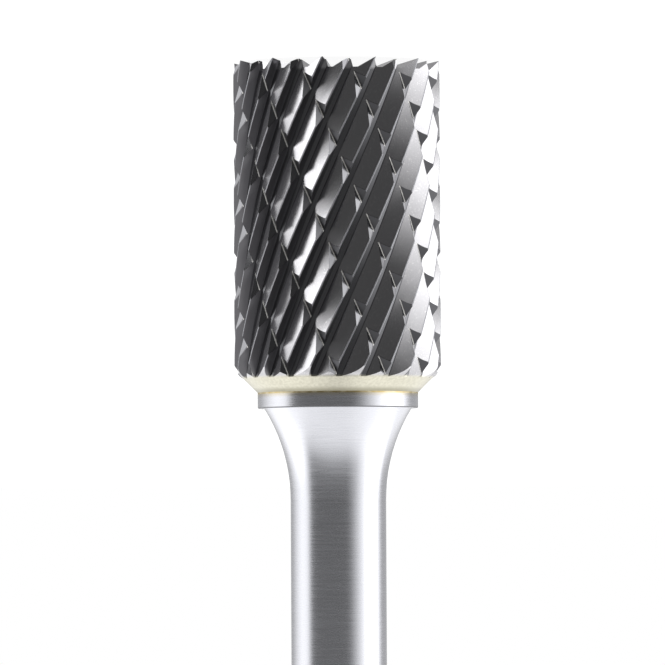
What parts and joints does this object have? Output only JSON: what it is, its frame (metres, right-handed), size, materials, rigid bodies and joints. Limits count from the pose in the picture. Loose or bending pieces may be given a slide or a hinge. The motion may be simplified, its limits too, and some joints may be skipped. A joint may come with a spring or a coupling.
{
  "type": "carbide burr",
  "caption": "Rotary cutting tool: cylindrical double-cut carbide head with end teeth, brazed to a flared steel shank for a collet.",
  "frame": {"origin": "centre of the head's free end, on the surface that the burr stands on", "axes": "+Z along the burr's axis, from the head's free end towards the end of the shank"},
  "size_m": [0.013, 0.013, 0.065],
  "materials": {
    "carbide": "ground tungsten carbide, dark and bright by turns",
    "braze": "pale gold solder",
    "steel": "fine turned and ground steel"
  },
  "bodies": {
    "root": {"carbide_head": "carbide", "braze_joint": "braze", "steel_shank": "steel"}
  },
  "joints": []
}
